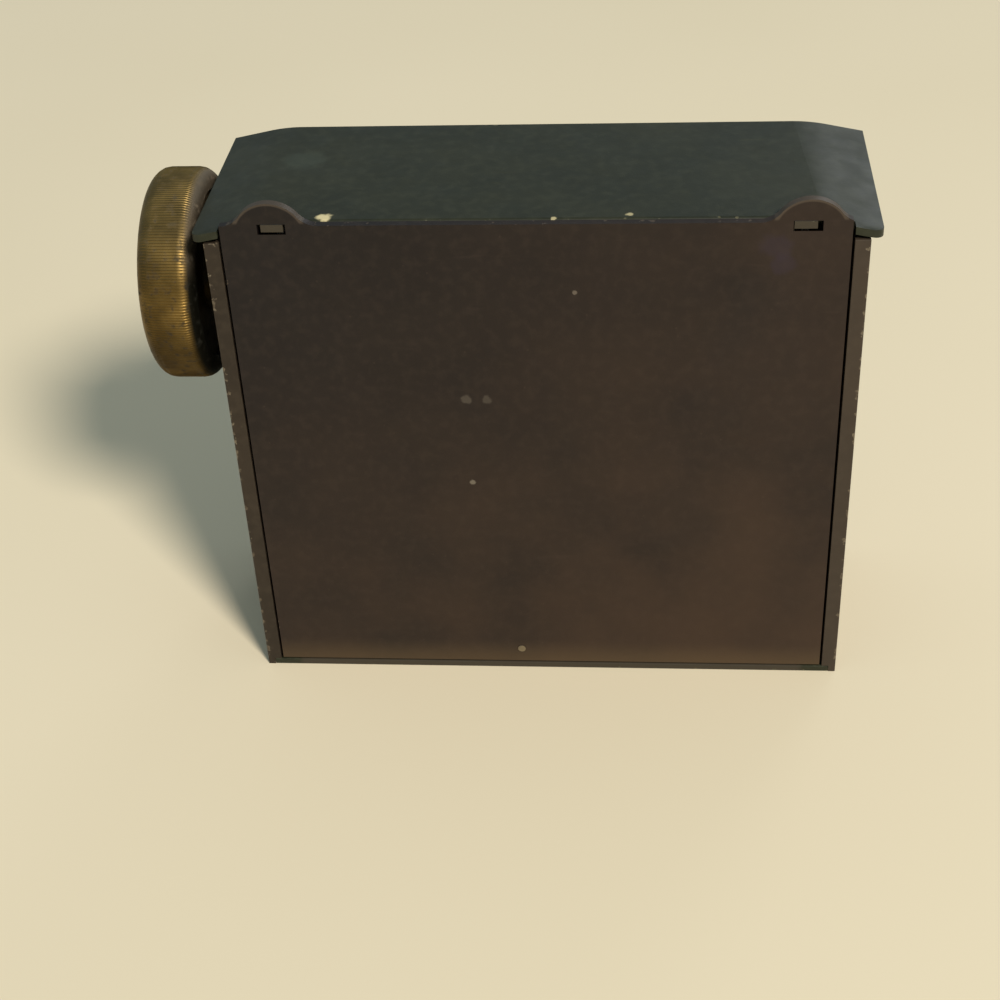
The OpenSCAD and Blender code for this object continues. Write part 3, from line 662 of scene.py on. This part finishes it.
# %% A lathe
AXES = {"x": Vector((1, 0, 0)), "y": Vector((0, 1, 0))}


def turned(profile, centre, axis, steps):
    """Spins (distance along the axis, radius) pairs in millimetres into a closed bmesh."""
    along, out = AXES[axis], Vector((0, 0, 1))
    mesh = bmesh.new()
    points = [mesh.verts.new((Vector(centre) + along * a + out * r) * MM) for a, r in profile]
    edges = [mesh.edges.new(pair) for pair in zip(points, points[1:])]
    bmesh.ops.spin(
        mesh, geom=points + edges, cent=Vector(centre) * MM, axis=along, angle=2 * math.pi, steps=steps,
        use_merge=True,
    )
    bmesh.ops.remove_doubles(mesh, verts=mesh.verts, dist=WELD)
    bmesh.ops.recalc_face_normals(mesh, faces=mesh.faces)
    return mesh


def arc(centre, radius, start, end, steps=10):
    """Points of an arc in a profile, angles in degrees."""
    return [
        (centre[0] + radius * math.cos(math.radians(start + (end - start) * k / steps)),
         centre[1] + radius * math.sin(math.radians(start + (end - start) * k / steps)))
        for k in range(steps + 1)
    ]


def joined(name, finish, smooth, *pieces):
    """One object from several, all at the origin."""
    mesh = bmesh.new()
    for piece in pieces:
        mesh.from_mesh(piece.data)
        bpy.data.objects.remove(piece)
    return thing(name, mesh, finish, smooth)


# %% [markdown]
# ## The knurled knob
# The knob is brass with a straight knurl, round shoulders, and a hollow inner face that never gets polished. That
# face is blackened by oxide and painted shade, and painted paler near its top where light falls. The knob is also
# painted darker low down and paler on top, as shade and light. The body is turned a little small, and fine ridges
# stand on it. The shade and oxide is a number on each point, so it fades softly over the round edge.

# %% Knob
low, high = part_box("knob")
knob_r = (high.z - low.z) / 2 / MM
knob_x, knob_z = low.x / MM, (high.z + low.z) / 2 / MM
KNOB_T, ROUND, RIDGE = 6.8, 1.8, 0.055
body_r = knob_r - RIDGE
profile = [(0.35, 0.0), (0.35, 2.9), (0.0, 3.3), (0.0, 3.6), (0.45, 3.9), (0.45, 9.7), (0.0, 10.1)]
profile += arc((ROUND, body_r - ROUND), ROUND, 180, 90)
profile += arc((KNOB_T - ROUND, body_r - ROUND), ROUND, 90, 0)
profile += [(KNOB_T, 10.3), (KNOB_T - 0.2, 10.05), (KNOB_T - 0.8, 10.0), (KNOB_T - 0.8, 4.6), (KNOB_T - 0.7, 4.5)]
profile += [(8.35, 4.5), (8.5, 4.35), (8.5, 1.5), (1.5, 1.5), (1.5, 0.0)]
knob_body = thing("knob_body", turned(profile, (knob_x, 0, knob_z), "x", 160), knob_brass)

# %% Knurl of the knob
KNURLS, SUNK = 230, 0.05
ENDS = (0.3, 0.5, 0.8, 1.2, 1.8)
ridge = bmesh.new()
half = math.pi * knob_r / KNURLS * 0.9
rows = []
for a in ENDS + tuple(KNOB_T - a for a in reversed(ENDS)):
    from_end = min(a, KNOB_T - a)
    inward = max(ROUND - from_end, 0.0)
    base = body_r - ROUND + math.sqrt(ROUND**2 - inward**2) - SUNK
    lift = SUNK + RIDGE * min(1.0, (from_end - ENDS[0]) / 0.9)
    rows.append([ridge.verts.new(Vector((a, y, base + z)) * MM) for y, z in ((-half, 0), (0, lift), (half, 0))])
for one, two in zip(rows, rows[1:]):
    for k in range(3):
        ridge.faces.new((one[k], one[(k + 1) % 3], two[(k + 1) % 3], two[k]))
ridge.faces.new(rows[0])
ridge.faces.new(list(reversed(rows[-1])))
bmesh.ops.recalc_face_normals(ridge, faces=ridge.faces)
knurls = copied(
    thing("ridge", ridge, knob_brass, 1.0), "knurls", KNURLS, knob_brass, turn=(2 * math.pi / KNURLS, 0, 0),
    centre=(knob_x, 0, knob_z),
)
knob_piece = joined("knob_turned", knob_brass, 24.0, knob_body, knurls)
# Painted shade and oxide: 0 on the outer part of the round inner edge, rising to 1 across it, and 1 on the inner
# face.
shade_and_oxide = knob_piece.data.attributes.new("shade_and_oxide", "FLOAT", "POINT")
for k, v in enumerate(knob_piece.data.vertices):
    depth = v.co.x / MM - knob_x - (KNOB_T - ROUND)
    shade_and_oxide.data[k].value = min(max((depth / ROUND - 0.4) / 0.3, 0.0), 1.0)
hold(knob_piece, "knob")
print("knob faces", len(knob_piece.data.polygons))

# %% [markdown]
# ## The release button
# The button is turned too: a low mushroom with a shallow dish for the fingertip, two fine rings
# round it, and a stem that goes down through the panel to the hook.

# %% Button
low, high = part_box("release_button")
button_x, button_z = (low.x + high.x) / 2 / MM, (low.z + high.z) / 2 / MM
top, bottom = high.y / MM, low.y / MM
under = top - 1.6
profile = [(bottom, 0.0), (bottom, 0.65), (bottom + 0.15, 0.8), (bottom + 2, 0.8), (bottom + 2, 1.4)]
profile += [(bottom + 2.1, 1.5), (bottom + 2.5, 1.5), (bottom + 2.6, 1.4), (bottom + 2.6, 0.8)]
profile += [(under, 0.8), (under, 3.2), (under + 0.25, 3.45), (under + 0.7, 3.5), (under + 1.0, 3.42)]
profile += [(under + 1.0, 3.3), (under + 1.15, 3.3), (under + 1.3, 3.15), (under + 1.45, 2.9), (under + 1.45, 2.75)]
profile += [(under + 1.58, 2.7), (under + 1.6, 2.45), (under + 1.5, 1.9), (under + 1.38, 1.1), (under + 1.34, 0.0)]
button = thing("button_turned", turned(profile, (button_x, 0, button_z), "y", 96), old_brass, 24.0)
hold(button, "release_button")
print("button at", round(button_x, 2), round(button_z, 2))


# %% [markdown]
# ## Slotted screws
# Two cheese head screws hold the window frame. A slotted head is two D shapes that stand on a
# disc, with the slot between them. One is modelled and the row tree places both.

# %% Bezel screws
def slotted_screw(radius, height, slot, shank_r, shank_l):
    """A screw along +Y: a disc, two D shapes on it and a shank below, at the origin."""
    mesh = turned(
        [(-shank_l, 0.0), (-shank_l, shank_r - 0.1), (-shank_l + 0.1, shank_r), (0, shank_r), (0, radius - 0.05),
         (0.05, radius), (height * 0.5, radius), (height * 0.5, 0.0)],
        (0, 0, 0), "y", 32,
    )
    start, steps = math.asin(slot / radius), 12
    for side in (-1, 1):
        angles = [start + (math.pi - 2 * start) * k / steps for k in range(steps + 1)]
        outline = [(radius * math.cos(a), side * radius * math.sin(a)) for a in angles]
        foot = [mesh.verts.new(Vector((x, height * 0.5, z)) * MM) for x, z in outline]
        lid = [mesh.verts.new(Vector((x * 0.9, height, z * 0.93 + side * slot * 0.07)) * MM) for x, z in outline]
        for k in range(steps + 1):
            n = (k + 1) % (steps + 1)
            mesh.faces.new((foot[k], foot[n], lid[n], lid[k]))
        mesh.faces.new(lid)
        mesh.faces.new(foot)
    bmesh.ops.recalc_face_normals(mesh, faces=mesh.faces)
    return mesh


low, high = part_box("bezel_screws")
HEAD_H, SLOT_HALF, SHANK_R = 0.5, 0.16, 0.6
head_r = (high.z - low.z) / 2 / MM
head_y = high.y / MM - HEAD_H
span = (high.x - low.x) / MM - 2 * head_r
screw = thing("screw", slotted_screw(head_r, HEAD_H, SLOT_HALF, SHANK_R, head_y - low.y / MM), bright_brass)
screws = copied(
    screw, "slotted_screws", 2, bright_brass, turn=(0, math.radians(64), 0), offset=(span, 0, 0),
    centre=(-span / 2, head_y, (low.z + high.z) / 2 / MM),
)
hold(screws, "bezel_screws")

# %% [markdown]
# ## Peened rivets
# The guide, the idler pin and the spring lug are riveted through the side walls. Outside, each rivet ends in a low
# dome. These domes are small extra pieces on the case.

# %% Rivet domes on the side walls
def dome(radius, height):
    """A low dome that points to +X, at the origin."""
    rise = [(height * math.sin(math.radians(a)), radius * math.cos(math.radians(a))) for a in range(0, 90, 15)]
    return turned([(-0.1, 0.0), (-0.1, radius * 0.96)] + rise + [(height, 0.0)], (0, 0, 0), "x", 24)


def rivet_row(name, node, outside, radius, places):
    """One dome for each place (y, z), outside -1 for the left wall and 1 for the right."""
    seed = dome(radius, 0.28)
    if outside < 0:
        bmesh.ops.rotate(seed, verts=seed.verts, cent=(0, 0, 0), matrix=Matrix.Rotation(math.pi, 3, "Z"))
    (y0, z0), (y1, z1) = places[0], places[-1]
    count = len(places)
    gaps = max(count - 1, 1)
    step = (0, (y1 - y0) / gaps, (z1 - z0) / gaps)
    made = copied(
        thing(f"{name}_seed", seed, plated_steel, 30.0), name, count, plated_steel, offset=step,
        centre=(outside * WALL_X, y0, z0),
    )
    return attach(made, body_of[node])


low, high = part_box("guide_rivets")
guide_y, guide_r = (low.y + high.y) / 2 / MM, 0.49
ends = [(guide_y, low.z / MM + guide_r), (guide_y, high.z / MM - guide_r)]
rivet_row("guide_rivet_domes", "guide_rivets", -1, 0.95, ends)
for name, node, outside, radius in (
    ("idler_pin_dome", "idler_pin", -1, 1.1), ("lug_rivet_dome", "spring_lug", 1, 0.95),
):
    low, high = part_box(node)
    rivet_row(name, node, outside, radius, [((low.y + high.y) / 2 / MM, (low.z + high.z) / 2 / MM)])


# %% [markdown]
# ## Letters on the drum
# The drum turns in steps of twenty degrees and shows one pair of letters at a time. Text is a
# flat curve in Blender. It is made a mesh, and each point is wrapped onto the drum by turning its
# height into an angle. The user looks down on the top panel with the knob at the right, so the
# letters read towards the knob.

# %% Printed letters
def letters(words, height):
    """A word as a flat bmesh, centred, x along the line and y up, in millimetres."""
    curve = bpy.data.curves.new("letters", "FONT")
    curve.body = words
    curve.size = height / 0.69
    curve.align_x, curve.align_y = "CENTER", "CENTER"
    curve.resolution_u = 3
    text = bpy.data.objects.new("letters", curve)
    bpy.context.scene.collection.objects.link(text)
    data = bpy.data.meshes.new_from_object(text.evaluated_get(bpy.context.evaluated_depsgraph_get()))
    bpy.data.objects.remove(text)
    mesh = bmesh.new()
    mesh.from_mesh(data)
    bmesh.ops.subdivide_edges(mesh, edges=[e for e in mesh.edges if e.calc_length() > 0.5], cuts=2)
    bmesh.ops.triangulate(mesh, faces=mesh.faces)
    return mesh


low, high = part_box("letter_drum")
drum_r = (high.z - low.z) / 2 / MM
drum_z = (high.z + low.z) / 2 / MM
PRINT_R = drum_r + 0.015
STATIONS = ("A B", "C D", "E F", "G H", "I J", "K L", "M N", "O P", "Q R", "S T", "U V W", "X Y Z")
print_on_drum = bmesh.new()
for k, words in enumerate(STATIONS):
    word = letters(words, 2.0)
    for v in word.verts:
        angle = math.radians(-20 * k) + v.co.y / drum_r
        v.co = Vector((-v.co.x, PRINT_R * math.cos(angle), drum_z + PRINT_R * math.sin(angle))) * MM
    data = bpy.data.meshes.new("word")
    word.to_mesh(data)
    word.free()
    print_on_drum.from_mesh(data)
bmesh.ops.recalc_face_normals(print_on_drum, faces=print_on_drum.faces)
for face in print_on_drum.faces:
    out = face.calc_center_median() - Vector((0, 0, drum_z * MM))
    if face.normal.y * out.y + face.normal.z * out.z < 0:
        face.normal_flip()
drum_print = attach(thing("drum_letters", print_on_drum, ink), "dial")
print("drum letters", len(drum_print.data.polygons), "faces")

# %% [markdown]
# ## Letters on the leaf tabs
# The four lifted leaves have a letter tab each, and their underside faces the user when the case
# pops up, so the letters are printed on that side, a hair off the card.

# %% Tab letters
TABS = {5: "A-F", 6: "G-L", 7: "M-R", 8: "S-Z"}
for number, words in TABS.items():
    low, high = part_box(f"leaf_{number}")
    tab = [v.co for v in frame["nodes"][f"leaf_{number}"].data.vertices if v.co.z < low.z + 0.5 * MM]
    middle = (min(co.x for co in tab) + max(co.x for co in tab)) / 2
    under = min(co.y for co in tab)
    word = letters(words, 1.05)
    for v in word.verts:
        v.co = Vector((middle + v.co.x * MM, under - 0.01 * MM, low.z + (0.95 + v.co.y) * MM))
    for face in word.faces:
        face.normal_update()
        if face.normal.y > 0:
            face.normal_flip()
    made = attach(thing(f"tab_letters_{number}", word, ink), f"index_leaf_{number}")
print("leaf tabs lettered", len(TABS))

# %% [markdown]
# ## The table
# The real thing stands on a pale cloth. Here a plain pale floor stands for it, with a very slight change of tone.

# %% Floor
floor_finish = Finish("floor", Roughness=0.9, Specular_IOR_Level=0.1)
drift = floor_finish.step(floor_finish.grain(160.0, 2.0), 0.3, 0.7)
floor_finish.wear(floor_finish.mix(drift, seen(224, 213, 189), seen(221, 210, 185)))
floor_mesh = bmesh.new()
bmesh.ops.create_grid(floor_mesh, x_segments=8, y_segments=8, size=3.0)
floor = thing("floor", floor_mesh, floor_finish.made)
